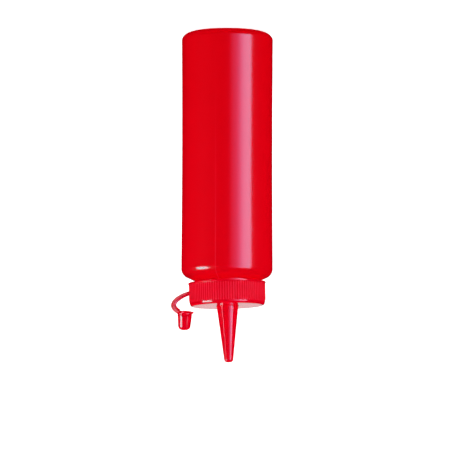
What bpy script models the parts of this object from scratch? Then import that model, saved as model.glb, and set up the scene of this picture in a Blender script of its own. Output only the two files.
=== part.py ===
"""Squeeze sauce bottle, shut: a soft round body and a ribbed screw closure with a nozzle.

Metres, +Z up. The bottle stands on its flat base. The origin is the centre of the base, on
the body's axis. The closure's moulded strap and its tip cap hang on the +X side.
"""
import math

import bmesh
import bpy
from mathutils import Matrix, Vector

# Body, from the base up
BODY_RADIUS = 0.0350
WAIST_DEPTH = 0.00037
BASE_CORNER_WIDTH = 0.0088
BASE_CORNER_HEIGHT = 0.0061
SHOULDER_START = 0.1825
SHOULDER_RADIUS = 0.0073
SHOULDER_SWEEP = math.radians(65.0)
SHOULDER_SLOPE = math.radians(25.0)
NECK_RADIUS = 0.0249
NECK_TOP = 0.2048
NECK_EDGE = 0.0008
BODY_SEGMENTS = 64

# Closure, in its own frame: its origin is the centre of the open rim, +Z points to the nozzle
RIM_HEIGHT = 0.1931
CLOSURE_LEAN = math.radians(-1.4)
FLANGE_RADIUS = 0.0297
FLANGE_HEIGHT = 0.0018
SKIRT_RADIUS = 0.0293
RIB_COUNT = 94
RIB_ROOT_RADIUS = 0.02895
RIB_START = 0.0021
EDGE_START = 0.0138
EDGE_POWER = 1.6
FACE_RADIUS = 0.0272
FACE_HEIGHT = 0.0180
SOCKET_RADIUS = 0.0260
SOCKET_DEPTH = 0.0128
SOCKET_SEGMENTS = 64

# Nozzle
NOZZLE_ROOT_RADIUS = 0.0083
NOZZLE_TAPER = math.radians(6.8)
NOZZLE_TOP = 0.0612
NOZZLE_EDGE = 0.0017
NOZZLE_SEGMENTS = 32
ORIFICE_RADIUS = 0.0011
ORIFICE_DEPTH = 0.012
ORIFICE_SEGMENTS = 16

# Strap: a flat ribbon whose middle line lies near the closure's XZ plane
STRAP_WIDTH = 0.0050
STRAP_THICKNESS = 0.0025
STRAP_EDGE = 0.0006
STRAP_START = Vector((0.0282, 0.0, 0.0073))
STRAP_START_ANGLE = math.radians(14.3)
STRAP_START_HANDLE = 0.0065
STRAP_BEND = Vector((0.0412, 0.0, 0.0166))
STRAP_BEND_HANDLE_IN = 0.0038
STRAP_BEND_HANDLE_OUT = 0.0022
STRAP_END = Vector((0.0371, 0.0, 0.02165))
STRAP_END_ANGLE = math.radians(147.3)
STRAP_END_HANDLE = 0.0019
STRAP_ROLL_START = math.radians(16.0)
STRAP_ROLL_END = math.radians(20.0)
STRAP_ROLL_BEND = math.radians(10.0)
STRAP_STEPS = 8

# Tip cap, in its own frame: its origin is the centre of its mouth, +Z points to its shut end
TIP_CAP_MOUTH = Vector((0.0327, 0.0, 0.0218))
TIP_CAP_LEAN_SIDE = math.radians(3.7)
TIP_CAP_LEAN_BACK = math.radians(15.0)
TIP_CAP_LENGTH = 0.0139
TIP_CAP_MOUTH_RADIUS = 0.0057
TIP_CAP_LIP = 0.00018
TIP_CAP_LIP_HEIGHT = 0.0010
TIP_CAP_TAPER = math.radians(5.0)
TIP_CAP_EDGE = 0.0027
TIP_CAP_WALL = 0.00095
TIP_CAP_DEPTH = 0.0124
TIP_CAP_SEGMENTS = 32
TAB_REACH = 0.0015
TAB_WIDTH = 0.0030
TAB_THICKNESS = 0.0012
TAB_CORNER = 0.0012
TAB_HEIGHT = 0.0005
TAB_DROOP = math.radians(20.0)

CLEAR = 0.002  # how far a cutter runs past the face it opens
GLOSS_RED = (0.70, 0.001, 0.008, 1.0)
CLOSURE_RED = (0.76, 0.002, 0.010, 1.0)


def clear_scene():
    """Remove whatever the opened file holds."""
    for old in list(bpy.data.objects):
        bpy.data.objects.remove(old, do_unlink=True)


def arc(centre_r, centre_z, width, height, start, end, steps):
    """Points (r, z) of an elliptical arc, angles counted from the +r direction towards +z."""
    points = []
    for step in range(steps + 1):
        angle = start + (end - start) * step / steps
        points.append((centre_r + width * math.cos(angle), centre_z + height * math.sin(angle)))
    return points


def body_profile():
    """Outline (r, z) of the body from the edge of the flat base to the edge of the neck's top."""
    quarter = math.pi / 2
    outline = arc(BODY_RADIUS - BASE_CORNER_WIDTH, BASE_CORNER_HEIGHT,
                  BASE_CORNER_WIDTH, BASE_CORNER_HEIGHT, -quarter, 0.0, 6)
    wall_steps = 8
    for step in range(1, wall_steps):
        share = step / wall_steps
        height = BASE_CORNER_HEIGHT + (SHOULDER_START - BASE_CORNER_HEIGHT) * share
        outline.append((BODY_RADIUS - WAIST_DEPTH * math.sin(math.pi * share), height))
    outline += arc(BODY_RADIUS - SHOULDER_RADIUS, SHOULDER_START,
                   SHOULDER_RADIUS, SHOULDER_RADIUS, 0.0, SHOULDER_SWEEP, 6)
    slope_r, slope_z = outline[-1]
    neck_root = slope_z + (slope_r - NECK_RADIUS) * math.tan(SHOULDER_SLOPE)
    outline.append((NECK_RADIUS, neck_root))
    outline += arc(NECK_RADIUS - NECK_EDGE, NECK_TOP - NECK_EDGE,
                   NECK_EDGE, NECK_EDGE, 0.0, quarter, 2)
    return outline


def turned(name, outline, segments, ribs_from=None, root_radius=0.0):
    """Closed turned solid from an outline (r, z) that runs up its outer side.

    Both ends are closed by a flat face. From the height ribs_from up, every other vertex of a
    ring reaches no further than root_radius, so ribs stand wherever the outline is wider.
    """
    shape = bmesh.new()
    rings = []
    for radius, height in outline:
        ribbed = ribs_from is not None and height >= ribs_from
        ring = []
        for segment in range(segments):
            angle = 2 * math.pi * segment / segments
            reach = min(radius, root_radius) if ribbed and segment % 2 else radius
            ring.append(shape.verts.new((reach * math.cos(angle), reach * math.sin(angle), height)))
        rings.append(ring)
    for lower, upper in zip(rings, rings[1:]):
        for segment in range(segments):
            after = (segment + 1) % segments
            shape.faces.new((lower[segment], lower[after], upper[after], upper[segment]))
    shape.faces.new(list(reversed(rings[0])))
    shape.faces.new(rings[-1])
    return finished(name, shape)


def finished(name, shape):
    """Turn a bmesh into a named object in the scene."""
    bmesh.ops.recalc_face_normals(shape, faces=shape.faces)
    mesh = bpy.data.meshes.new(name)
    shape.to_mesh(mesh)
    shape.free()
    item = bpy.data.objects.new(name, mesh)
    bpy.context.scene.collection.objects.link(item)
    return item


def combine(item, tool, operation):
    """Apply one exact Boolean of the tool to the item, then remove the tool."""
    modifier = item.modifiers.new("combine", "BOOLEAN")
    modifier.operation = operation
    modifier.solver = "EXACT"
    modifier.object = tool
    depsgraph = bpy.context.evaluated_depsgraph_get()
    result = bpy.data.meshes.new_from_object(item.evaluated_get(depsgraph))
    item.modifiers.clear()
    item.data = result
    bpy.data.objects.remove(tool, do_unlink=True)


def gloss_plastic(name, colour, roughness):
    """Moulded polyethylene or polypropylene with a soft gloss."""
    material = bpy.data.materials.new(name)
    material.use_nodes = True
    shader = material.node_tree.nodes["Principled BSDF"]
    shader.inputs["Base Color"].default_value = colour
    shader.inputs["Roughness"].default_value = roughness
    shader.inputs["Metallic"].default_value = 0.0
    return material


def dress(item, material, sharp_angle):
    """Give the item its one material, and shade its round sides smooth."""
    item.data.materials.clear()
    item.data.materials.append(material)
    item.data.shade_smooth()
    item.data.set_sharp_from_angle(angle=sharp_angle)


def skirt():
    """Closure's ribbed cup: rim flange, ribs, rounded edge and flat face, open below."""
    outline = [
        (FLANGE_RADIUS, 0.0),
        (FLANGE_RADIUS, FLANGE_HEIGHT),
        (SKIRT_RADIUS, RIB_START),
        (SKIRT_RADIUS, EDGE_START),
    ]
    edge_steps = 5
    for step in range(1, edge_steps + 1):
        share = step / edge_steps
        outline.append((SKIRT_RADIUS - (SKIRT_RADIUS - FACE_RADIUS) * share ** EDGE_POWER,
                        EDGE_START + (FACE_HEIGHT - EDGE_START) * share))
    cup = turned("closure", outline, 2 * RIB_COUNT, RIB_START, RIB_ROOT_RADIUS)
    socket = turned("socket", [(SOCKET_RADIUS, -CLEAR), (SOCKET_RADIUS, SOCKET_DEPTH)],
                    SOCKET_SEGMENTS)
    combine(cup, socket, "DIFFERENCE")
    return cup


def nozzle():
    """Straight cone that stands on the closure's face, with a rounded tip."""
    root = FACE_HEIGHT - CLEAR
    root_radius = NOZZLE_ROOT_RADIUS + CLEAR * math.tan(NOZZLE_TAPER)
    edge_height = NOZZLE_TOP - NOZZLE_EDGE
    edge_radius = NOZZLE_ROOT_RADIUS - (edge_height - FACE_HEIGHT) * math.tan(NOZZLE_TAPER)
    outline = [(root_radius, root)]
    outline += arc(edge_radius - NOZZLE_EDGE, edge_height, NOZZLE_EDGE, NOZZLE_EDGE,
                   0.0, math.pi / 2, 4)
    return turned("nozzle", outline, NOZZLE_SEGMENTS)


def orifice():
    """Cutter for the blind hole in the nozzle's tip."""
    outline = [(ORIFICE_RADIUS, NOZZLE_TOP - ORIFICE_DEPTH), (ORIFICE_RADIUS, NOZZLE_TOP + CLEAR)]
    return turned("orifice", outline, ORIFICE_SEGMENTS)


def bezier(start, start_handle, end_handle, end, share):
    """Point of a cubic Bezier curve."""
    rest = 1.0 - share
    return (rest ** 3 * start + 3 * rest ** 2 * share * start_handle
            + 3 * rest * share ** 2 * end_handle + share ** 3 * end)


def strap_path():
    """Middle line of the strap: out and up from the skirt, round its bend, back to the tip cap."""
    up = Vector((0.0, 0.0, 1.0))
    leaving = Vector((math.cos(STRAP_START_ANGLE), 0.0, math.sin(STRAP_START_ANGLE)))
    arriving = Vector((math.cos(STRAP_END_ANGLE), 0.0, math.sin(STRAP_END_ANGLE)))
    legs = [
        (STRAP_START, STRAP_START + leaving * STRAP_START_HANDLE,
         STRAP_BEND - up * STRAP_BEND_HANDLE_IN, STRAP_BEND),
        (STRAP_BEND, STRAP_BEND + up * STRAP_BEND_HANDLE_OUT,
         STRAP_END - arriving * STRAP_END_HANDLE, STRAP_END),
    ]
    path = [STRAP_START.copy()]
    for leg in legs:
        path += [bezier(*leg, step / STRAP_STEPS) for step in range(1, STRAP_STEPS + 1)]
    return path


def ribbon_section():
    """Rounded rectangle (across, out) of the strap's section, anticlockwise."""
    section = []
    quarter = math.pi / 2
    half_width = STRAP_WIDTH / 2 - STRAP_EDGE
    half_thickness = STRAP_THICKNESS / 2 - STRAP_EDGE
    for corner, (side, face) in enumerate(((1, 1), (-1, 1), (-1, -1), (1, -1))):
        section += arc(side * half_width, face * half_thickness, STRAP_EDGE, STRAP_EDGE,
                       corner * quarter, (corner + 1) * quarter, 2)
    return section


def strap():
    """Flat moulded strap, rolled so that its outer face turns a little towards -Y."""
    path = strap_path()
    section = ribbon_section()
    shape = bmesh.new()
    rings = []
    for index, point in enumerate(path):
        ahead = path[min(index + 1, len(path) - 1)]
        behind = path[max(index - 1, 0)]
        along = (ahead - behind).normalized()
        outward = Vector((along.z, 0.0, -along.x))
        front = Vector((0.0, -1.0, 0.0))
        share = index / (len(path) - 1)
        roll = (STRAP_ROLL_START + (STRAP_ROLL_END - STRAP_ROLL_START) * share
                + STRAP_ROLL_BEND * math.sin(math.pi * share))
        face = outward * math.cos(roll) + front * math.sin(roll)
        side = front * math.cos(roll) - outward * math.sin(roll)
        rings.append([shape.verts.new(point + side * across + face * out)
                      for across, out in section])
    for lower, upper in zip(rings, rings[1:]):
        for corner in range(len(section)):
            after = (corner + 1) % len(section)
            shape.faces.new((lower[corner], lower[after], upper[after], upper[corner]))
    shape.faces.new(list(reversed(rings[0])))
    shape.faces.new(rings[-1])
    return finished("strap", shape)


def tip_cap_placement():
    """Matrix from the tip cap's own frame to the closure's."""
    lean = Matrix.Rotation(TIP_CAP_LEAN_SIDE, 4, "Y") @ Matrix.Rotation(-TIP_CAP_LEAN_BACK, 4, "X")
    return Matrix.Translation(TIP_CAP_MOUTH) @ lean


def tip_cap():
    """Outside of the small tapered cup that shuts the nozzle."""
    edge_start = TIP_CAP_LENGTH - TIP_CAP_EDGE
    edge_radius = TIP_CAP_MOUTH_RADIUS - edge_start * math.tan(TIP_CAP_TAPER)
    outline = [
        (TIP_CAP_MOUTH_RADIUS + TIP_CAP_LIP, 0.0),
        (TIP_CAP_MOUTH_RADIUS + TIP_CAP_LIP, TIP_CAP_LIP_HEIGHT),
        (TIP_CAP_MOUTH_RADIUS - TIP_CAP_LIP_HEIGHT * math.tan(TIP_CAP_TAPER),
         TIP_CAP_LIP_HEIGHT + TIP_CAP_LIP),
    ]
    outline += arc(edge_radius - TIP_CAP_EDGE, edge_start, TIP_CAP_EDGE, TIP_CAP_EDGE,
                   0.0, math.pi / 2, 5)
    cup = turned("tip_cap", outline, TIP_CAP_SEGMENTS)
    cup.data.transform(tip_cap_placement())
    return cup


def tip_cap_hollow():
    """Cutter for the inside of the tip cap."""
    mouth = TIP_CAP_MOUTH_RADIUS - TIP_CAP_WALL
    floor = mouth - TIP_CAP_DEPTH * math.tan(TIP_CAP_TAPER)
    edge = TIP_CAP_EDGE - TIP_CAP_WALL
    outline = [(mouth + CLEAR * math.tan(TIP_CAP_TAPER), -CLEAR)]
    outline += arc(floor - edge, TIP_CAP_DEPTH - edge, edge, edge, 0.0, math.pi / 2, 4)
    hollow = turned("hollow", outline, TIP_CAP_SEGMENTS)
    hollow.data.transform(tip_cap_placement())
    return hollow


def pull_tab():
    """Small thumb tab on the tip cap's lip, on the side away from the strap."""
    length = TAB_REACH + TIP_CAP_WALL
    shape = bmesh.new()
    bmesh.ops.create_cube(shape, size=1.0)
    bmesh.ops.scale(shape, vec=(length, TAB_WIDTH, TAB_THICKNESS), verts=shape.verts)
    outer_edges = [edge for edge in shape.edges
                   if edge.verts[0].co.x < 0.0 and edge.verts[0].co.z * edge.verts[1].co.z < 0.0]
    bmesh.ops.bevel(shape, geom=outer_edges, offset=TAB_CORNER, segments=3, affect="EDGES",
                    profile=0.5)
    tab = finished("tab", shape)
    middle = TIP_CAP_MOUTH_RADIUS - TIP_CAP_WALL / 2 + TAB_REACH - length / 2
    place = (tip_cap_placement()
             @ Matrix.Translation((-middle, 0.0, TAB_HEIGHT))
             @ Matrix.Rotation(-TAB_DROOP, 4, "Y"))
    tab.data.transform(place)
    return tab


def make_closure():
    """One moulding: skirt, nozzle, strap and tip cap, leaning as it is screwed on."""
    closure = skirt()
    combine(closure, nozzle(), "UNION")
    combine(closure, orifice(), "DIFFERENCE")
    combine(closure, strap(), "UNION")
    combine(closure, tip_cap(), "UNION")
    combine(closure, pull_tab(), "UNION")
    combine(closure, tip_cap_hollow(), "DIFFERENCE")
    dress(closure, gloss_plastic("closure_plastic", CLOSURE_RED, 0.28), math.radians(35.0))
    closure.location = (0.0, 0.0, RIM_HEIGHT)
    closure.rotation_euler = (0.0, CLOSURE_LEAN, 0.0)
    return closure


def make_bottle():
    """Shut body, solid to its outside, with the plain neck that the closure sits over."""
    bottle = turned("bottle", body_profile(), BODY_SEGMENTS)
    dress(bottle, gloss_plastic("bottle_plastic", GLOSS_RED, 0.30), math.radians(30.0))
    return bottle


clear_scene()
make_bottle()
make_closure()
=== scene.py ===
"""Looks of a red squeeze bottle for sauce: the blown body and its moulded screw closure.

Metres, +Z up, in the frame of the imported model. The bottle stands on its base. The photograph
shows it upside down, so the camera is turned half a turn about its own line of sight.
"""
import math

import bmesh
import bpy
from mathutils import Matrix, Vector, noise


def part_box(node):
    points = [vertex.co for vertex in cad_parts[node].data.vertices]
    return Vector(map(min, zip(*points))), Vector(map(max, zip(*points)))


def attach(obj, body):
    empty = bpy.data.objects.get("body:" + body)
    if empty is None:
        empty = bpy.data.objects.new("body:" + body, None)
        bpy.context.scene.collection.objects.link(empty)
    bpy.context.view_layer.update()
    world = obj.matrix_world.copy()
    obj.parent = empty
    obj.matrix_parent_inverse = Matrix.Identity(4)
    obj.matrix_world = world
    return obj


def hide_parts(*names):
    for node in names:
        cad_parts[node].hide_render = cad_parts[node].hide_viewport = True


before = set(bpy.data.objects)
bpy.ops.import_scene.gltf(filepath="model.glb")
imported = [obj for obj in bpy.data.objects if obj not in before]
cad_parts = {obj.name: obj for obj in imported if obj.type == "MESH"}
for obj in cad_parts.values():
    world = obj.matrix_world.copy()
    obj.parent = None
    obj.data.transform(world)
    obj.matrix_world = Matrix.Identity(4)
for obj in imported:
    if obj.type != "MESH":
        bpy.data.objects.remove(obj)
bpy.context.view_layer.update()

# Camera
# A long lens, a little above the bottle's middle. The photograph's picture is the upright
# bottle's turned by half a turn and a hair more.
CAMERA_PLACE = Vector((0.0, -3.974, 0.579))
CAMERA_AIM = Vector((0.0, 0.0, 0.1495))
CAMERA_TURN = math.radians(180.1)
CAMERA_DISTANCE = 4.0
FRAME_PIXELS = 452
METRES_PER_PIXEL = 0.000767
SENSOR_WIDTH = 36.0
AXIS_PIXEL = 227.05

camera = bpy.data.objects.new("camera", bpy.data.cameras.new("camera"))
bpy.context.scene.collection.objects.link(camera)
camera.data.sensor_width = SENSOR_WIDTH
camera.data.lens = SENSOR_WIDTH * CAMERA_DISTANCE / (FRAME_PIXELS * METRES_PER_PIXEL)
camera.data.shift_x = (FRAME_PIXELS / 2 - AXIS_PIXEL) / FRAME_PIXELS
camera.data.clip_end = 100.0
sight = (CAMERA_AIM - CAMERA_PLACE).to_track_quat("-Z", "Y").to_matrix().to_4x4()
camera.matrix_world = Matrix.Translation(CAMERA_PLACE) @ sight @ Matrix.Rotation(CAMERA_TURN, 4, "Z")
bpy.context.scene.camera = camera

# Body
# Blown in one piece from soft, opaque red polyethylene. The two halves of its mould leave a
# fine raised line down each side, and the wall is a little uneven where it cooled.
body_low, body_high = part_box("bottle")
BODY_RADIUS = body_high.x
NECK_TOP = body_high.z
WAIST_DEPTH = 0.00037
BASE_CORNER_WIDTH = 0.0088
BASE_CORNER_HEIGHT = 0.0061
SHOULDER_START = 0.1825
SHOULDER_RADIUS = 0.0073
SHOULDER_SWEEP = math.radians(65.0)
SHOULDER_SLOPE = math.radians(25.0)
NECK_RADIUS = 0.0249
NECK_EDGE = 0.0008
FOOT_WIDTH = 0.0018
HOLLOW_DEPTH = 0.0011
HOLLOW_SLOPE_WIDTH = 0.0048
HOLLOW_DOME = 0.0003
MOULD_LINE_ANGLE = math.radians(-75.3)
MOULD_LINE_HALF_WIDTH = 0.00022
MOULD_LINE_HEIGHT = 0.00003
UNEVEN_DEPTH = 0.00003
UNEVEN_LENGTH = 0.045
UNEVEN_STRETCH = 0.6
BODY_STEPS = 224
BODY_CLOUD = 0.030
BODY_PEEL = 0.0007
BODY_PEEL_DEPTH = 0.000012
DIE_LINE_WIDTH = 0.0011
DIE_LINE_STRETCH = 50.0
BODY_ROUGHNESS = 0.145
BODY_IOR = 1.51
# Painted shade: the body's red runs from the deep red at the base to the bright red near the shoulder,
# as less light reaches the base; noise also moves it between them as the plastic's own uneven tone.
BODY_DEEP_RED = (0.633, 0.0, 0.0035, 1.0)
BODY_BRIGHT_RED = (0.730, 0.0, 0.0068, 1.0)
# A painted sheen: the pale tint on the raised mould lines, strongest near the shoulder.
MOULD_LINE_SHEEN_RED = (0.88, 0.055, 0.10, 1.0)
SHARP_FROM = math.radians(40.0)
QUARTER = math.pi / 2


class Tone:
    """A value inside a material. Arithmetic on it adds Math nodes."""

    def __init__(self, tree, socket=None):
        self.tree = tree
        self.socket = socket

    def node(self, kind, settings, inputs, output=0):
        """Add a node of this kind, set it up, feed its sockets and return one of its outputs."""
        made = self.tree.nodes.new(kind)
        for name, value in settings.items():
            setattr(made, name, value)
        for name, value in inputs.items():
            if isinstance(value, Tone):
                self.tree.links.new(value.socket, made.inputs[name])
            else:
                made.inputs[name].default_value = value
        return Tone(self.tree, made.outputs[output])

    def math(self, operation, first, second):
        return self.node("ShaderNodeMath", {"operation": operation}, {0: first, 1: second})

    def __add__(self, other):
        return self.math("ADD", self, other)

    def __radd__(self, other):
        return self.math("ADD", other, self)

    def __rsub__(self, other):
        return self.math("SUBTRACT", other, self)

    def __mul__(self, other):
        return self.math("MULTIPLY", self, other)

    def __rmul__(self, other):
        return self.math("MULTIPLY", other, self)

    def clamped(self):
        """The value held between 0 and 1."""
        return self.node("ShaderNodeClamp", {}, {"Value": self})

    def mixed(self, low, high):
        """A colour between low and high, by this value."""
        return self.node("ShaderNodeMix", {"data_type": "RGBA"}, {0: self, 6: low, 7: high}, 2)

    def feed(self, shader, name):
        """Lead this value into one of the shader's sockets."""
        self.tree.links.new(self.socket, shader.inputs[name])


def new_material(name):
    """An empty painted material: the material, its shader, and a Tone to build nodes with."""
    material = bpy.data.materials.new(name)
    material.use_nodes = True
    tree = material.node_tree
    return material, tree.nodes["Principled BSDF"], Tone(tree)


def speckle(paint, place, grain, detail=2.0):
    """Noise from 0 to 1 whose grains are about that many metres across."""
    inputs = {"Vector": place, "Scale": 1.0 / grain, "Detail": detail}
    return paint.node("ShaderNodeTexNoise", {}, inputs, "Fac")


def raise_grain(paint, shader, height, strength, depth):
    """Lead a height from 0 to 1 into the shader as fine relief of that depth in metres."""
    inputs = {"Strength": strength, "Distance": depth, "Height": height}
    paint.node("ShaderNodeBump", {}, inputs, "Normal").feed(shader, "Normal")


def arc(centre_r, centre_z, width, height, start, end, steps):
    """Points (r, z) of an elliptical arc, angles counted from the +r direction towards +z."""
    points = []
    for step in range(steps + 1):
        angle = start + (end - start) * step / steps
        points.append((centre_r + width * math.cos(angle), centre_z + height * math.sin(angle)))
    return points


def eased(share):
    """A smooth step from 0 to 1."""
    share = min(max(share, 0.0), 1.0)
    return share * share * (3.0 - 2.0 * share)


def turned(outline, angles, reach=None):
    """Closed shape turned round the Z axis from an outline (r, z) that starts and ends on it."""
    shape = bmesh.new()
    rings = []
    for radius, height in outline:
        ring = []
        for angle in angles if radius > 0.0 else (0.0,):
            out = reach(radius, height, angle) if reach else radius
            ring.append(shape.verts.new((out * math.cos(angle), out * math.sin(angle), height)))
        rings.append(ring)
    for lower, upper in zip(rings, rings[1:]):
        for index in range(len(angles)):
            corners = [lower[index % len(lower)], lower[(index + 1) % len(angles) % len(lower)],
                       upper[(index + 1) % len(angles) % len(upper)], upper[index % len(upper)]]
            shape.faces.new(list(dict.fromkeys(corners)))
    return shape


def evenly(count):
    """That many angles round the axis."""
    return [2 * math.pi * index / count for index in range(count)]


def piece(name, shape, material, place=Matrix.Identity(4)):
    """Finish a bmesh as a shaded object that rides on the one body."""
    bmesh.ops.recalc_face_normals(shape, faces=shape.faces)
    shape.transform(place)
    mesh = bpy.data.meshes.new(name)
    shape.to_mesh(mesh)
    shape.free()
    mesh.materials.append(material)
    mesh.shade_smooth()
    mesh.set_sharp_from_angle(angle=SHARP_FROM)
    item = bpy.data.objects.new(name, mesh)
    bpy.context.scene.collection.objects.link(item)
    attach(item, "root")
    return item


def body_outline():
    """From the middle of the base's hollow, over the foot, wall and shoulder to the neck's top."""
    foot_outer = BODY_RADIUS - BASE_CORNER_WIDTH
    foot_inner = foot_outer - FOOT_WIDTH
    hollow = foot_inner - HOLLOW_SLOPE_WIDTH
    outline = []
    for step in range(10):
        share = step / 9
        outline.append((hollow * share, HOLLOW_DEPTH + HOLLOW_DOME * (1.0 - share * share)))
    for step in range(1, 9):
        share = step / 8
        outline.append((hollow + HOLLOW_SLOPE_WIDTH * share, HOLLOW_DEPTH * (1.0 - eased(share))))
    outline += arc(foot_outer, BASE_CORNER_HEIGHT, BASE_CORNER_WIDTH, BASE_CORNER_HEIGHT,
                   -QUARTER, 0.0, 18)
    wall_steps = 72
    for step in range(1, wall_steps):
        share = step / wall_steps
        height = BASE_CORNER_HEIGHT + (SHOULDER_START - BASE_CORNER_HEIGHT) * share
        outline.append((BODY_RADIUS - WAIST_DEPTH * math.sin(math.pi * share), height))
    outline += arc(BODY_RADIUS - SHOULDER_RADIUS, SHOULDER_START, SHOULDER_RADIUS, SHOULDER_RADIUS,
                   0.0, SHOULDER_SWEEP, 18)
    slope_r, slope_z = outline[-1]
    for step in range(1, 5):
        radius = slope_r + (NECK_RADIUS - slope_r) * step / 4
        outline.append((radius, slope_z + (slope_r - radius) * math.tan(SHOULDER_SLOPE)))
    outline += arc(NECK_RADIUS - NECK_EDGE, NECK_TOP - NECK_EDGE, NECK_EDGE, NECK_EDGE,
                   0.0, QUARTER, 3)
    outline.append((0.0, NECK_TOP))
    return outline


def body_angles():
    """Even steps round the body, with close ones across each mould line."""
    lines = [MOULD_LINE_ANGLE % (2 * math.pi), (MOULD_LINE_ANGLE + math.pi) % (2 * math.pi)]
    half = MOULD_LINE_HALF_WIDTH / BODY_RADIUS
    near = [line + half * share for line in lines for share in (-1.6, -1.0, -0.5, 0.0, 0.5, 1.0, 1.6)]
    far = [angle for angle in evenly(BODY_STEPS)
           if all(abs(angle - line) > 2.4 * half for line in lines)]
    return sorted(near + far)


def body_reach(radius, height, angle):
    """The wall's real radius: a shade uneven, never wider than the mould, raised at its lines."""
    place = Vector((radius * math.cos(angle), radius * math.sin(angle), height * UNEVEN_STRETCH))
    dip = 0.5 - 0.5 * noise.noise(place / UNEVEN_LENGTH)
    off_line = abs(math.remainder(angle - MOULD_LINE_ANGLE, math.pi)) * radius
    line = max(0.0, 1.0 - (off_line / MOULD_LINE_HALF_WIDTH) ** 2)
    inside = 1.0 if radius > BODY_RADIUS / 2 else 0.0
    return radius - UNEVEN_DEPTH * dip * inside + MOULD_LINE_HEIGHT * line * inside


def body_plastic():
    """Soft red polyethylene: a satin gloss, faint die lines along it and a fine orange peel.

    Painted shade makes it a little deeper towards the base, and a painted sheen makes the mould lines
    palest near the shoulder.
    """
    material, shader, paint = new_material("body_plastic")
    place = paint.node("ShaderNodeTexCoord", {}, {}, "Object")
    cloud = speckle(paint, place, BODY_CLOUD)
    peel = speckle(paint, place, BODY_PEEL)
    drawn = paint.node("ShaderNodeVectorMath", {"operation": "MULTIPLY"},
                       {0: place, 1: (1.0, 1.0, 1.0 / DIE_LINE_STRETCH)})
    die_line = speckle(paint, drawn, DIE_LINE_WIDTH, 3.0)
    across = (-math.sin(MOULD_LINE_ANGLE), math.cos(MOULD_LINE_ANGLE), 0.0)
    off_line = paint.node("ShaderNodeVectorMath", {"operation": "DOT_PRODUCT"},
                          {0: place, 1: across}, "Value")
    distance = off_line.math("ABSOLUTE", off_line, 0.0)
    line = (1.0 - distance * (1.0 / (1.5 * MOULD_LINE_HALF_WIDTH))).clamped()
    # Painted shade: the red deepens towards the base and brightens towards the shoulder; cloud, die
    # lines and peel are the plastic's own uneven tone.
    rise = paint.node("ShaderNodeSeparateXYZ", {}, {0: place}, "Z") * (1.0 / SHOULDER_START)
    tint = (0.28 * cloud + 0.15 * die_line + 0.07 * peel + 0.5 * rise).clamped()
    red = tint.mixed(BODY_DEEP_RED, BODY_BRIGHT_RED)
    # Painted sheen: a pale tint along the raised mould lines, growing towards the shoulder.
    (0.45 * line * rise * rise).clamped().mixed(red, MOULD_LINE_SHEEN_RED).feed(shader, "Base Color")
    (BODY_ROUGHNESS + 0.03 * cloud + 0.03 * die_line + 0.06 * line).feed(shader, "Roughness")
    raise_grain(paint, shader, 0.7 * peel + 0.3 * die_line, 0.35, BODY_PEEL_DEPTH)
    shader.inputs["IOR"].default_value = BODY_IOR
    return material


body_paint = body_plastic()
body = piece("bottle_body", turned(body_outline(), body_angles(), body_reach), body_paint)
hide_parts("bottle")

# Base weld
# Where the mould's two halves pinch the soft tube shut, a low weld crosses the base's hollow.
# It lies in line with the mould lines and stops short of the foot.
WELD_LENGTH = 0.034
WELD_HALF_WIDTH = 0.0006325
WELD_HEIGHT = 0.0005
WELD_SINK = 0.0003
WELD_STEPS = 40


def base_weld():
    """Low rounded ridge that hangs from the base's hollow, thinning out at both ends."""
    shape = bmesh.new()
    rings = []
    for step in range(WELD_STEPS + 1):
        along = 2.0 * step / WELD_STEPS - 1.0
        swell = max(1.0 - along ** 6, 0.02)
        uneven = 1.0 + 0.12 * noise.noise(Vector((along * 9.0, 0.3, 0.7)))
        ring = []
        for index in range(9):
            angle = math.pi * index / 8
            across = WELD_HALF_WIDTH * swell * math.cos(angle)
            drop = (WELD_HEIGHT * uneven + WELD_SINK) * swell * math.sin(angle)
            height = HOLLOW_DEPTH + WELD_SINK - drop
            ring.append(shape.verts.new((along * WELD_LENGTH / 2, across, height)))
        rings.append(ring)
    for one, other in zip(rings, rings[1:]):
        for index in range(8):
            shape.faces.new((one[index], one[index + 1], other[index + 1], other[index]))
        shape.faces.new((one[8], one[0], other[0], other[8]))
    shape.faces.new(rings[0])
    shape.faces.new(rings[-1])
    return shape


piece("base_weld", base_weld(), body_paint,
      Matrix.Rotation(MOULD_LINE_ANGLE, 4, "Z"))

# Screw closure
# Injection-moulded in one piece from glossy red polypropylene, and screwed down over the neck:
# a ribbed cup with a rim, a rounded edge and a flat face. It sits a little askew.
CLOSURE_LEAN = math.radians(-1.4)
FLANGE_RADIUS = 0.0297
FLANGE_HEIGHT = 0.0009
FLANGE_EDGE = 0.0003
SKIRT_RADIUS = 0.0293
RIB_COUNT = 94
RIB_DEPTH = 0.00022
RIB_START = 0.0011
RIB_FADE_START = 0.0147
RIB_END = 0.0156
RIB_RUN_IN = 0.0006
RIB_SAMPLES = 10
EDGE_START = 0.0122
BAND_START = 0.0157
BAND_END = 0.0166
BAND_SLOPE = math.radians(17.0)
FACE_HEIGHT = 0.0180
SOCKET_RADIUS = 0.0260
SOCKET_DEPTH = 0.0128
CLOSURE_CLOUD = 0.012
CLOSURE_PEEL = 0.0005
CLOSURE_PEEL_DEPTH = 0.000008
CLOSURE_ROUGHNESS = 0.075
CLOSURE_IOR = 1.49
CLOSURE_GLOSS = 0.5
CLOSURE_DEEP_RED = (0.72, 0.0, 0.009, 1.0)
CLOSURE_BRIGHT_RED = (0.76, 0.0, 0.012, 1.0)
RIB_GLOSS = 0.03
# Painted shade: the ribbed band's reds are darker than the rest of the closure's, for the shade between
# the ribs.
RIB_SHADED_DEEP_RED = (0.655, 0.0, 0.008, 1.0)
RIB_SHADED_BRIGHT_RED = (0.695, 0.0, 0.010, 1.0)
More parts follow.
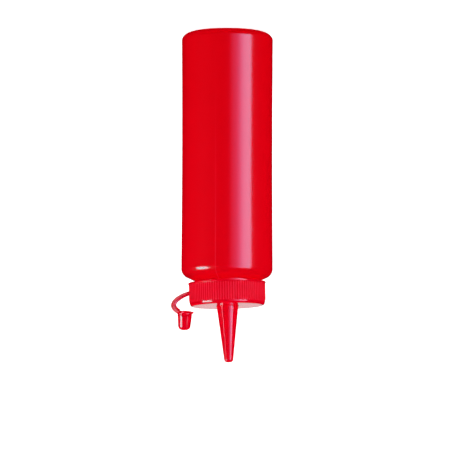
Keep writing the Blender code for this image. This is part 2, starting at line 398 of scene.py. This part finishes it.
# A painted highlight: the paler red laid on the ribs' crests.
CREST_HIGHLIGHT_RED = (0.90, 0.029, 0.070, 1.0)
CREST_HIGHLIGHT_POWER = 6
closure_low, closure_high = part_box("closure")
RIM_HEIGHT = closure_low.z - FLANGE_RADIUS * math.sin(CLOSURE_LEAN)
closure_place = Matrix.Translation((0.0, 0.0, RIM_HEIGHT)) @ Matrix.Rotation(CLOSURE_LEAN, 4, "Y")


def cup_outline():
    """From the socket's floor, down inside, round the rim and up the ribbed side to the face."""
    outline = [(0.0, SOCKET_DEPTH), (SOCKET_RADIUS, SOCKET_DEPTH), (SOCKET_RADIUS, FLANGE_EDGE)]
    outline += [(SOCKET_RADIUS + FLANGE_EDGE, 0.0)]
    outline += arc(FLANGE_RADIUS - FLANGE_EDGE, FLANGE_EDGE, FLANGE_EDGE, FLANGE_EDGE, -QUARTER, 0.0, 4)
    outline += arc(FLANGE_RADIUS - FLANGE_EDGE, FLANGE_HEIGHT - FLANGE_EDGE, FLANGE_EDGE, FLANGE_EDGE,
                   0.0, QUARTER, 4)
    outline.append((SKIRT_RADIUS, RIB_START))
    for step in range(1, 9):
        outline.append((SKIRT_RADIUS, RIB_START + (EDGE_START - RIB_START) * step / 8))
    bent = BAND_START - EDGE_START
    for step in range(1, 11):
        rise = bent * step / 10
        dip = math.tan(BAND_SLOPE) * rise * rise / (2 * bent)
        outline.append((SKIRT_RADIUS - dip, EDGE_START + rise))
    inset = math.tan(BAND_SLOPE) * (bent / 2 + BAND_END - BAND_START)
    rounding = (FACE_HEIGHT - BAND_END) / (1.0 - math.sin(BAND_SLOPE))
    outline += arc(SKIRT_RADIUS - inset - rounding * math.cos(BAND_SLOPE), FACE_HEIGHT - rounding,
                   rounding, rounding, BAND_SLOPE, QUARTER, 12)
    outline += [(0.8 * SKIRT_RADIUS, FACE_HEIGHT), (0.0, FACE_HEIGHT)]
    return outline


def rib_crest(angle):
    """1 on the crest of a rib, 0 in the valley between two."""
    return 0.5 + 0.5 * math.cos(RIB_COUNT * angle)


def cup_reach(radius, height, angle):
    """Cuts the valleys between the ribs, shallower where the ribs run out on the edge."""
    if radius <= SOCKET_RADIUS + FLANGE_EDGE or not RIB_START <= height < RIB_END:
        return radius
    start = eased((height - RIB_START) / RIB_RUN_IN + 1.0 / 3.0)
    end = 1.0 - eased((height - RIB_FADE_START) / (RIB_END - RIB_FADE_START))
    return radius - RIB_DEPTH * min(start, end) * (1.0 - rib_crest(angle))


def closure_plastic(name, gloss, low, high, crest_highlight_colour=None):
    """Red polypropylene with a cloudy moulding grain, and with a painted highlight on the ribs' crests
    if its colour is given.
    """
    material, shader, paint = new_material(name)
    place = paint.node("ShaderNodeTexCoord", {}, {}, "Object")
    cloud = speckle(paint, place, CLOSURE_CLOUD)
    peel = speckle(paint, place, CLOSURE_PEEL)
    tint = (0.8 * cloud + 0.2 * peel).clamped()
    red = tint.mixed(low, high)
    if crest_highlight_colour:
        crest_highlight = paint.node("ShaderNodeAttribute", {"attribute_name": "crest_highlight"}, {}, "Fac")
        # Painted highlight: a paler red on the ribs' crests.
        red = (crest_highlight * (0.7 + 0.6 * cloud)).clamped().mixed(red, crest_highlight_colour)
    red.feed(shader, "Base Color")
    (CLOSURE_ROUGHNESS + 0.03 * cloud + 0.01 * peel).feed(shader, "Roughness")
    raise_grain(paint, shader, peel, 0.3, CLOSURE_PEEL_DEPTH)
    shader.inputs["IOR"].default_value = CLOSURE_IOR
    shader.inputs["Specular IOR Level"].default_value = gloss
    return material


def ribbed(place):
    """Whether a place on the upright closure lies in its ribbed band."""
    return RIB_START < place.z < RIB_END and place.xy.length > SOCKET_RADIUS + FLANGE_EDGE


def mark_ribs(item):
    """Give the ribbed band its own satin material, darker with painted shade, and mark how near each
    point is to a crest, where a highlight is painted.
    """
    item.data.materials.append(closure_plastic("rib_plastic", RIB_GLOSS, RIB_SHADED_DEEP_RED,
                                               RIB_SHADED_BRIGHT_RED, CREST_HIGHLIGHT_RED))
    # Each point holds how strongly the painted highlight lies on it: near a crest, in the ribbed band.
    crest_highlight = item.data.attributes.new("crest_highlight", "FLOAT", "POINT")
    upright = closure_place.inverted()
    for vertex in item.data.vertices:
        place = upright @ vertex.co
        near = rib_crest(math.atan2(place.y, place.x)) ** CREST_HIGHLIGHT_POWER
        crest_highlight.data[vertex.index].value = near if ribbed(place) else 0.0
    for face in item.data.polygons:
        face.material_index = 1 if ribbed(upright @ face.center) else 0


closure_paint = closure_plastic("closure_plastic", CLOSURE_GLOSS, CLOSURE_DEEP_RED,
                                CLOSURE_BRIGHT_RED)
cup = piece("closure_cup", turned(cup_outline(), evenly(RIB_COUNT * RIB_SAMPLES), cup_reach),
            closure_paint, closure_place)
mark_ribs(cup)
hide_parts("closure")

# Pouring nozzle
# A long cone in one moulding with the closure's face, with a small fillet at its root, a
# rounded tip and the pouring hole in its middle.
NOZZLE_ROOT_RADIUS = 0.0083
NOZZLE_TAPER = math.radians(6.7)
NOZZLE_TOP = 0.0612
NOZZLE_EDGE = 0.0023
NOZZLE_FILLET = 0.0005
NOZZLE_SINK = 0.001
ORIFICE_RADIUS = 0.0011
ORIFICE_EDGE = 0.0002
ORIFICE_DEPTH = 0.012


def nozzle_outline():
    """From under the face, out over the fillet, up the cone, over the tip and down its hole."""
    root = NOZZLE_ROOT_RADIUS + NOZZLE_FILLET
    outline = [(0.0, FACE_HEIGHT - NOZZLE_SINK), (root, FACE_HEIGHT - NOZZLE_SINK)]
    outline += [(root - NOZZLE_FILLET * math.sin(QUARTER * step / 6),
                 FACE_HEIGHT + NOZZLE_FILLET * (1.0 - math.cos(QUARTER * step / 6)))
                for step in range(7)]
    edge_height = NOZZLE_TOP - NOZZLE_EDGE
    cone_length = edge_height - FACE_HEIGHT
    edge_radius = NOZZLE_ROOT_RADIUS - cone_length * math.tan(NOZZLE_TAPER)
    for step in range(1, 16):
        height = FACE_HEIGHT + NOZZLE_FILLET + (cone_length - NOZZLE_FILLET) * step / 16
        outline.append((NOZZLE_ROOT_RADIUS - (height - FACE_HEIGHT) * math.tan(NOZZLE_TAPER), height))
    outline += arc(edge_radius - NOZZLE_EDGE, edge_height, NOZZLE_EDGE, NOZZLE_EDGE, 0.0, QUARTER, 10)
    outline += arc(ORIFICE_RADIUS + ORIFICE_EDGE, NOZZLE_TOP - ORIFICE_EDGE, ORIFICE_EDGE, ORIFICE_EDGE,
                   QUARTER, 2 * QUARTER, 4)
    outline += [(ORIFICE_RADIUS, NOZZLE_TOP - ORIFICE_DEPTH), (0.0, NOZZLE_TOP - ORIFICE_DEPTH)]
    return outline


piece("pouring_nozzle", turned(nozzle_outline(), evenly(96)), closure_paint,
      closure_place)

# Strap
# A flat moulded ribbon that keeps the tip cap on the closure. It leaves the skirt, bends back
# on itself under the tip cap's weight, and rolls a little so that its broad side shows.
STRAP_WIDTH = 0.0050
STRAP_THICKNESS = 0.00243
STRAP_EDGE = 0.0006
STRAP_START = Vector((0.0282, 0.0, 0.0073))
STRAP_START_ANGLE = math.radians(14.3)
STRAP_START_HANDLE = 0.0065
STRAP_BEND = Vector((0.0412, 0.0, 0.0166))
STRAP_BEND_HANDLE_IN = 0.0038
STRAP_BEND_HANDLE_OUT = 0.0022
STRAP_END = Vector((0.0371, 0.0, 0.02165))
STRAP_END_ANGLE = math.radians(147.3)
STRAP_END_HANDLE = 0.0019
STRAP_ROLL_START = math.radians(16.0)
STRAP_ROLL_END = math.radians(20.0)
STRAP_ROLL_BEND = math.radians(10.0)
STRAP_STEPS = 28
STRAP_CLOUD = 0.004
STRAP_ROUGHNESS = 0.16
STRAP_PALE_FROM = 0.12
STRAP_PALE_MIDDLE = 0.4
STRAP_PALE_SKIN = 0.3
# Painted shade: the strap's reds are darker than the closure's, though it is the same plastic.
STRAP_SHADED_DEEP_RED = (0.60, 0.0, 0.009, 1.0)
STRAP_SHADED_BRIGHT_RED = (0.64, 0.0, 0.012, 1.0)
# A painted sheen: the pale colour on the strap's outer face.
STRAP_SHEEN_PALE = (0.70, 0.115, 0.135, 1.0)


def bezier(start, start_handle, end_handle, end, share):
    """Point of a cubic Bezier curve."""
    rest = 1.0 - share
    return (rest ** 3 * start + 3 * rest ** 2 * share * start_handle
            + 3 * rest * share ** 2 * end_handle + share ** 3 * end)


def strap_path():
    """Middle line of the strap: out and up from the skirt, round its bend, back to the tip cap."""
    up = Vector((0.0, 0.0, 1.0))
    leaving = Vector((math.cos(STRAP_START_ANGLE), 0.0, math.sin(STRAP_START_ANGLE)))
    arriving = Vector((math.cos(STRAP_END_ANGLE), 0.0, math.sin(STRAP_END_ANGLE)))
    legs = [
        (STRAP_START, STRAP_START + leaving * STRAP_START_HANDLE,
         STRAP_BEND - up * STRAP_BEND_HANDLE_IN, STRAP_BEND),
        (STRAP_BEND, STRAP_BEND + up * STRAP_BEND_HANDLE_OUT,
         STRAP_END - arriving * STRAP_END_HANDLE, STRAP_END),
    ]
    path = [STRAP_START.copy()]
    for leg in legs:
        path += [bezier(*leg, step / STRAP_STEPS) for step in range(1, STRAP_STEPS + 1)]
    return path


def ribbon_section():
    """Rounded rectangle (across, out) of the strap's section."""
    section = []
    half_width = STRAP_WIDTH / 2 - STRAP_EDGE
    half_thickness = STRAP_THICKNESS / 2 - STRAP_EDGE
    for corner, (side, face) in enumerate(((1, 1), (-1, 1), (-1, -1), (1, -1))):
        section += arc(side * half_width, face * half_thickness, STRAP_EDGE, STRAP_EDGE,
                       corner * QUARTER, (corner + 1) * QUARTER, 5)
    return section


def strap_painted_sheen(share, out):
    """How strong the painted sheen is: on the outer face, and most towards the strap's ends."""
    along = eased(share / STRAP_PALE_FROM)
    along *= STRAP_PALE_MIDDLE + (1.0 - STRAP_PALE_MIDDLE) * abs(2.0 * share - 1.0)
    return along * eased((out / STRAP_THICKNESS - STRAP_PALE_SKIN) / (0.5 - STRAP_PALE_SKIN))


def strap():
    """The ribbon's mesh, swept along its middle line."""
    path = strap_path()
    section = ribbon_section()
    front = Vector((0.0, -1.0, 0.0))
    shape = bmesh.new()
    # Each point holds how strong the painted sheen is there.
    painted_sheen = shape.verts.layers.float.new("painted_sheen")
    rings = []
    for index, point in enumerate(path):
        along = (path[min(index + 1, len(path) - 1)] - path[max(index - 1, 0)]).normalized()
        outward = Vector((along.z, 0.0, -along.x))
        share = index / (len(path) - 1)
        roll = (STRAP_ROLL_START + (STRAP_ROLL_END - STRAP_ROLL_START) * share
                + STRAP_ROLL_BEND * math.sin(math.pi * share))
        face = outward * math.cos(roll) + front * math.sin(roll)
        side = front * math.cos(roll) - outward * math.sin(roll)
        rings.append([shape.verts.new(point + side * across + face * out) for across, out in section])
        for vertex, (across, out) in zip(rings[-1], section):
            vertex[painted_sheen] = strap_painted_sheen(share, out)
    for one, other in zip(rings, rings[1:]):
        for corner in range(len(section)):
            after = (corner + 1) % len(section)
            shape.faces.new((one[corner], one[after], other[after], other[corner]))
    shape.faces.new(rings[0])
    shape.faces.new(rings[-1])
    return shape


def strap_plastic():
    """The closure's plastic in darker reds of painted shade, with a paler, duller painted sheen on the
    strap's outer face.
    """
    material, shader, paint = new_material("strap_plastic")
    place = paint.node("ShaderNodeTexCoord", {}, {}, "Object")
    painted_sheen = paint.node("ShaderNodeAttribute", {"attribute_name": "painted_sheen"}, {}, "Fac")
    cloud = speckle(paint, place, STRAP_CLOUD)
    peel = speckle(paint, place, CLOSURE_PEEL)
    tint = (0.8 * cloud + 0.2 * peel).clamped()
    red = tint.mixed(STRAP_SHADED_DEEP_RED, STRAP_SHADED_BRIGHT_RED)
    # Painted sheen: a paler red on the strap's outer face, weaker round the bend.
    pale = (painted_sheen * (0.8 + 0.4 * cloud)).clamped()
    pale.mixed(red, STRAP_SHEEN_PALE).feed(shader, "Base Color")
    (STRAP_ROUGHNESS + 0.22 * painted_sheen + 0.02 * peel).feed(shader, "Roughness")
    raise_grain(paint, shader, peel, 0.3, CLOSURE_PEEL_DEPTH)
    shader.inputs["IOR"].default_value = CLOSURE_IOR
    return material


piece("strap", strap(), strap_plastic(), closure_place)

# Tip cap
# A small tapered cup that plugs over the nozzle's tip, moulded on the strap's end. It hangs
# open beside the closure, with a thin lip round its mouth and a stub of the gate on its end.
TIP_CAP_MOUTH = Vector((0.0327, 0.0, 0.0218))
TIP_CAP_LEAN_SIDE = math.radians(3.7)
TIP_CAP_LEAN_BACK = math.radians(15.0)
TIP_CAP_LENGTH = 0.0139
TIP_CAP_MOUTH_RADIUS = 0.0057
TIP_CAP_LIP = 0.00018
TIP_CAP_LIP_HEIGHT = 0.0010
TIP_CAP_LIP_EDGE = 0.00022
TIP_CAP_TAPER = math.radians(5.0)
TIP_CAP_EDGE = 0.0031
TIP_CAP_WALL = 0.00095
TIP_CAP_DEPTH = 0.0124
GATE_RADIUS = 0.00055
GATE_HEIGHT = 0.0003
tip_cap_place = (closure_place @ Matrix.Translation(TIP_CAP_MOUTH)
                 @ Matrix.Rotation(TIP_CAP_LEAN_SIDE, 4, "Y")
                 @ Matrix.Rotation(-TIP_CAP_LEAN_BACK, 4, "X"))


def tip_cap_outline():
    """From the middle of its floor, down inside to the mouth, over the lip and up outside."""
    slope = math.tan(TIP_CAP_TAPER)
    inner_mouth = TIP_CAP_MOUTH_RADIUS - TIP_CAP_WALL
    inner_edge = TIP_CAP_EDGE - TIP_CAP_WALL
    inner_floor = inner_mouth - TIP_CAP_DEPTH * slope
    outline = [(0.0, TIP_CAP_DEPTH)]
    outline += reversed(arc(inner_floor - inner_edge, TIP_CAP_DEPTH - inner_edge, inner_edge, inner_edge,
                            0.0, QUARTER, 6))
    outline.append((inner_mouth - TIP_CAP_LIP_EDGE * slope, TIP_CAP_LIP_EDGE))
    outline += arc(inner_mouth + TIP_CAP_LIP_EDGE, TIP_CAP_LIP_EDGE, TIP_CAP_LIP_EDGE, TIP_CAP_LIP_EDGE,
                   -2 * QUARTER, -QUARTER, 4)[1:]
    lip = TIP_CAP_MOUTH_RADIUS + TIP_CAP_LIP
    outline += arc(lip - TIP_CAP_LIP_EDGE, TIP_CAP_LIP_EDGE, TIP_CAP_LIP_EDGE, TIP_CAP_LIP_EDGE,
                   -QUARTER, 0.0, 4)
    outline += arc(lip - TIP_CAP_LIP_EDGE, TIP_CAP_LIP_HEIGHT - TIP_CAP_LIP_EDGE, TIP_CAP_LIP_EDGE,
                   TIP_CAP_LIP_EDGE, 0.0, 0.8 * QUARTER, 3)
    side_start = TIP_CAP_LIP_HEIGHT + TIP_CAP_LIP
    edge_start = TIP_CAP_LENGTH - TIP_CAP_EDGE
    for step in range(6):
        height = side_start + (edge_start - side_start) * step / 6
        outline.append((TIP_CAP_MOUTH_RADIUS - height * slope, height))
    outline += arc(TIP_CAP_MOUTH_RADIUS - edge_start * slope - TIP_CAP_EDGE, edge_start,
                   TIP_CAP_EDGE, TIP_CAP_EDGE, 0.0, QUARTER, 10)
    outline += [(GATE_RADIUS, TIP_CAP_LENGTH), (0.8 * GATE_RADIUS, TIP_CAP_LENGTH + GATE_HEIGHT)]
    outline.append((0.0, TIP_CAP_LENGTH + GATE_HEIGHT))
    return outline


piece("tip_cap", turned(tip_cap_outline(), evenly(80)), closure_paint, tip_cap_place)

# Pull tab
# A thumb tab on the tip cap's lip, on the side away from the strap, to pull the cap off with.
TAB_REACH = 0.0015
TAB_WIDTH = 0.0030
TAB_THICKNESS = 0.0012
TAB_CORNER = 0.0012
TAB_EDGE = 0.00025
TAB_HEIGHT = 0.0005
TAB_DROOP = math.radians(20.0)


def pull_tab():
    """Flat tab with round outer corners and softened edges."""
    shape = bmesh.new()
    bmesh.ops.create_cube(shape, size=1.0)
    bmesh.ops.scale(shape, vec=(TAB_REACH + TIP_CAP_WALL, TAB_WIDTH, TAB_THICKNESS), verts=shape.verts)
    corners = [edge for edge in shape.edges
               if edge.verts[0].co.x < 0.0 and edge.verts[0].co.z * edge.verts[1].co.z < 0.0]
    bmesh.ops.bevel(shape, geom=corners, offset=TAB_CORNER, segments=8, affect="EDGES", profile=0.5)
    rims = [edge for edge in shape.edges if abs(edge.verts[0].co.z - edge.verts[1].co.z) < TAB_EDGE]
    bmesh.ops.bevel(shape, geom=rims, offset=TAB_EDGE, segments=3, affect="EDGES", profile=0.5)
    return shape


tab_middle = TIP_CAP_MOUTH_RADIUS + TAB_REACH / 2 - TIP_CAP_WALL
tab_place = (tip_cap_place @ Matrix.Translation((-tab_middle, 0.0, TAB_HEIGHT))
             @ Matrix.Rotation(-TAB_DROOP, 4, "Y"))
piece("pull_tab", pull_tab(), closure_paint, tab_place)

# Studio
# A white room. Even light from the half-spheres above and below brings out the plastic's own
# colour, and glowing panels show only as reflections in its gloss. Their colours are cold,
# because the red under them already gives the reflections their warm part.
FLOOR_SIZE = 40.0
SKY_SPREAD = math.radians(180.0)
SKY_STRENGTH = 3.34
GROUND_STRENGTH = 3.10
OPEN_SHARE = 0.35
SIDE_SPREAD = math.radians(50.0)
SIDE_STRENGTH = 0.42
PANEL_DISTANCE = 2.0
PANEL_AIM = Vector((0.0, 0.0, 0.1))
WHITE = (1.0, 1.0, 1.0, 1.0)
BLUE_GLOW = (0.33, 0.66, 1.0, 1.0)
CYAN_GLOW = (0.10, 0.97, 1.0, 1.0)
FAINT_GLOW = (0.6, 0.66, 2.0, 1.0)
FLOOR_GREY = (0.8, 0.8, 0.8, 1.0)
FLOOR_GLOW = 0.6

world = bpy.data.worlds.new("studio")
bpy.context.scene.world = world
world.use_nodes = True
world.node_tree.nodes["Background"].inputs["Color"].default_value = WHITE
world.node_tree.nodes["Background"].inputs["Strength"].default_value = 1.0
world.cycles_visibility.glossy = False
world.cycles_visibility.diffuse = False


def towards(azimuth, elevation):
    """A direction from the bottle: azimuth 0 is towards the camera, positive towards +X."""
    flat = math.cos(elevation)
    return Vector((flat * math.sin(azimuth), -flat * math.cos(azimuth), math.sin(elevation)))


def soft_lamp(name, azimuth, elevation, spread, strength, shadow=True):
    """A broad, even light that leaves no reflection in the gloss."""
    light = bpy.data.lights.new(name, "SUN")
    light.energy = strength
    light.angle = spread
    light.use_shadow = shadow
    light.cycles.use_multiple_importance_sampling = False
    lamp = bpy.data.objects.new(name, light)
    lamp.matrix_world = towards(azimuth, elevation).to_track_quat("Z", "Y").to_matrix().to_4x4()
    lamp.visible_glossy = False
    bpy.context.scene.collection.objects.link(lamp)


def panel(name, azimuths, elevations, colour, strength, fade=None, glow_floor=0.0):
    """A glowing sheet that shows only as a reflection, set between two azimuths and elevations.

    With a fade, the glow rises between two shares of the sheet's width, on top of a weaker,
    steady slope of height glow_floor, and turns from faint blue to its own colour as it grows.
    """
    middle = [math.radians(sum(azimuths)) / 2, math.radians(sum(elevations)) / 2]
    width = 2 * PANEL_DISTANCE * math.tan(math.radians(azimuths[1] - azimuths[0]) / 2)
    height = 2 * PANEL_DISTANCE * math.tan(math.radians(elevations[1] - elevations[0]) / 2)
    shape = bmesh.new()
    bmesh.ops.create_grid(shape, x_segments=1, y_segments=1, size=0.5)
    mesh = bpy.data.meshes.new(name)
    shape.to_mesh(mesh)
    shape.free()
    material = bpy.data.materials.new(name)
    material.use_nodes = True
    tree = material.node_tree
    tree.nodes.clear()
    out = tree.nodes.new("ShaderNodeOutputMaterial")
    paint = Tone(tree)
    if fade:
        place = paint.node("ShaderNodeTexCoord", {}, {}, "Object")
        share = 0.5 - paint.node("ShaderNodeSeparateXYZ", {}, {0: place}, "X")
        rise = paint.node("ShaderNodeMapRange", {"interpolation_type": "SMOOTHSTEP"},
                          {"Value": share, "From Min": fade[0], "From Max": fade[1]}, "Result")
        glow = rise * (1.0 - glow_floor) + glow_floor * share
        colour = glow.math("POWER", glow, 0.5).mixed(FAINT_GLOW, colour)
        strength = strength * glow
    paint.node("ShaderNodeEmission", {}, {"Color": colour, "Strength": strength}).feed(out, "Surface")
    mesh.materials.append(material)
    sheet = bpy.data.objects.new(name, mesh)
    bpy.context.scene.collection.objects.link(sheet)
    outward = towards(*middle)
    sheet.matrix_world = (Matrix.Translation(PANEL_AIM + PANEL_DISTANCE * outward)
                          @ outward.to_track_quat("Z", "Y").to_matrix().to_4x4()
                          @ Matrix.Diagonal((width, height, 1.0, 1.0)))
    sheet.visible_camera = False
    sheet.visible_diffuse = False
    sheet.visible_shadow = False


for name, height, strength in (("above", QUARTER, SKY_STRENGTH), ("below", -QUARTER, GROUND_STRENGTH)):
    soft_lamp("light_" + name, 0.0, height, SKY_SPREAD, strength * (1.0 - OPEN_SHARE))
    soft_lamp("fill_" + name, 0.0, height, SKY_SPREAD, strength * OPEN_SHARE, False)
soft_lamp("side_left", QUARTER, 0.0, SIDE_SPREAD, SIDE_STRENGTH)
soft_lamp("side_right", -QUARTER, 0.0, SIDE_SPREAD, SIDE_STRENGTH)
panel("softbox", azimuths=(-63.5, -5.0), elevations=(-30.0, 34.0), colour=BLUE_GLOW, strength=8.4,
      fade=(0.33, 0.72), glow_floor=0.42)
panel("strip", azimuths=(52.5, 84.0), elevations=(14.3, 37.2), colour=CYAN_GLOW, strength=15.0)
panel("rod", azimuths=(61.5, 66.5), elevations=(10.0, 16.0), colour=BLUE_GLOW, strength=8.0)
panel("backdrop", azimuths=(176.0, 184.0), elevations=(-5.0, 20.0), colour=WHITE, strength=0.77)

floor_mesh = bpy.data.meshes.new("floor")
floor_shape = bmesh.new()
bmesh.ops.create_grid(floor_shape, x_segments=1, y_segments=1, size=FLOOR_SIZE / 2)
floor_shape.to_mesh(floor_mesh)
floor_shape.free()
floor_material, floor_shader = new_material("floor_white")[:2]
floor_shader.inputs["Base Color"].default_value = FLOOR_GREY
floor_shader.inputs["Roughness"].default_value = 0.9
floor_shader.inputs["Emission Color"].default_value = WHITE
floor_shader.inputs["Emission Strength"].default_value = FLOOR_GLOW
floor_mesh.materials.append(floor_material)
floor = bpy.data.objects.new("floor", floor_mesh)
bpy.context.scene.collection.objects.link(floor)
floor.visible_glossy = False
floor.visible_diffuse = False
floor.visible_shadow = False

bpy.context.scene.view_settings.view_transform = "Standard"
bpy.context.view_layer.update()
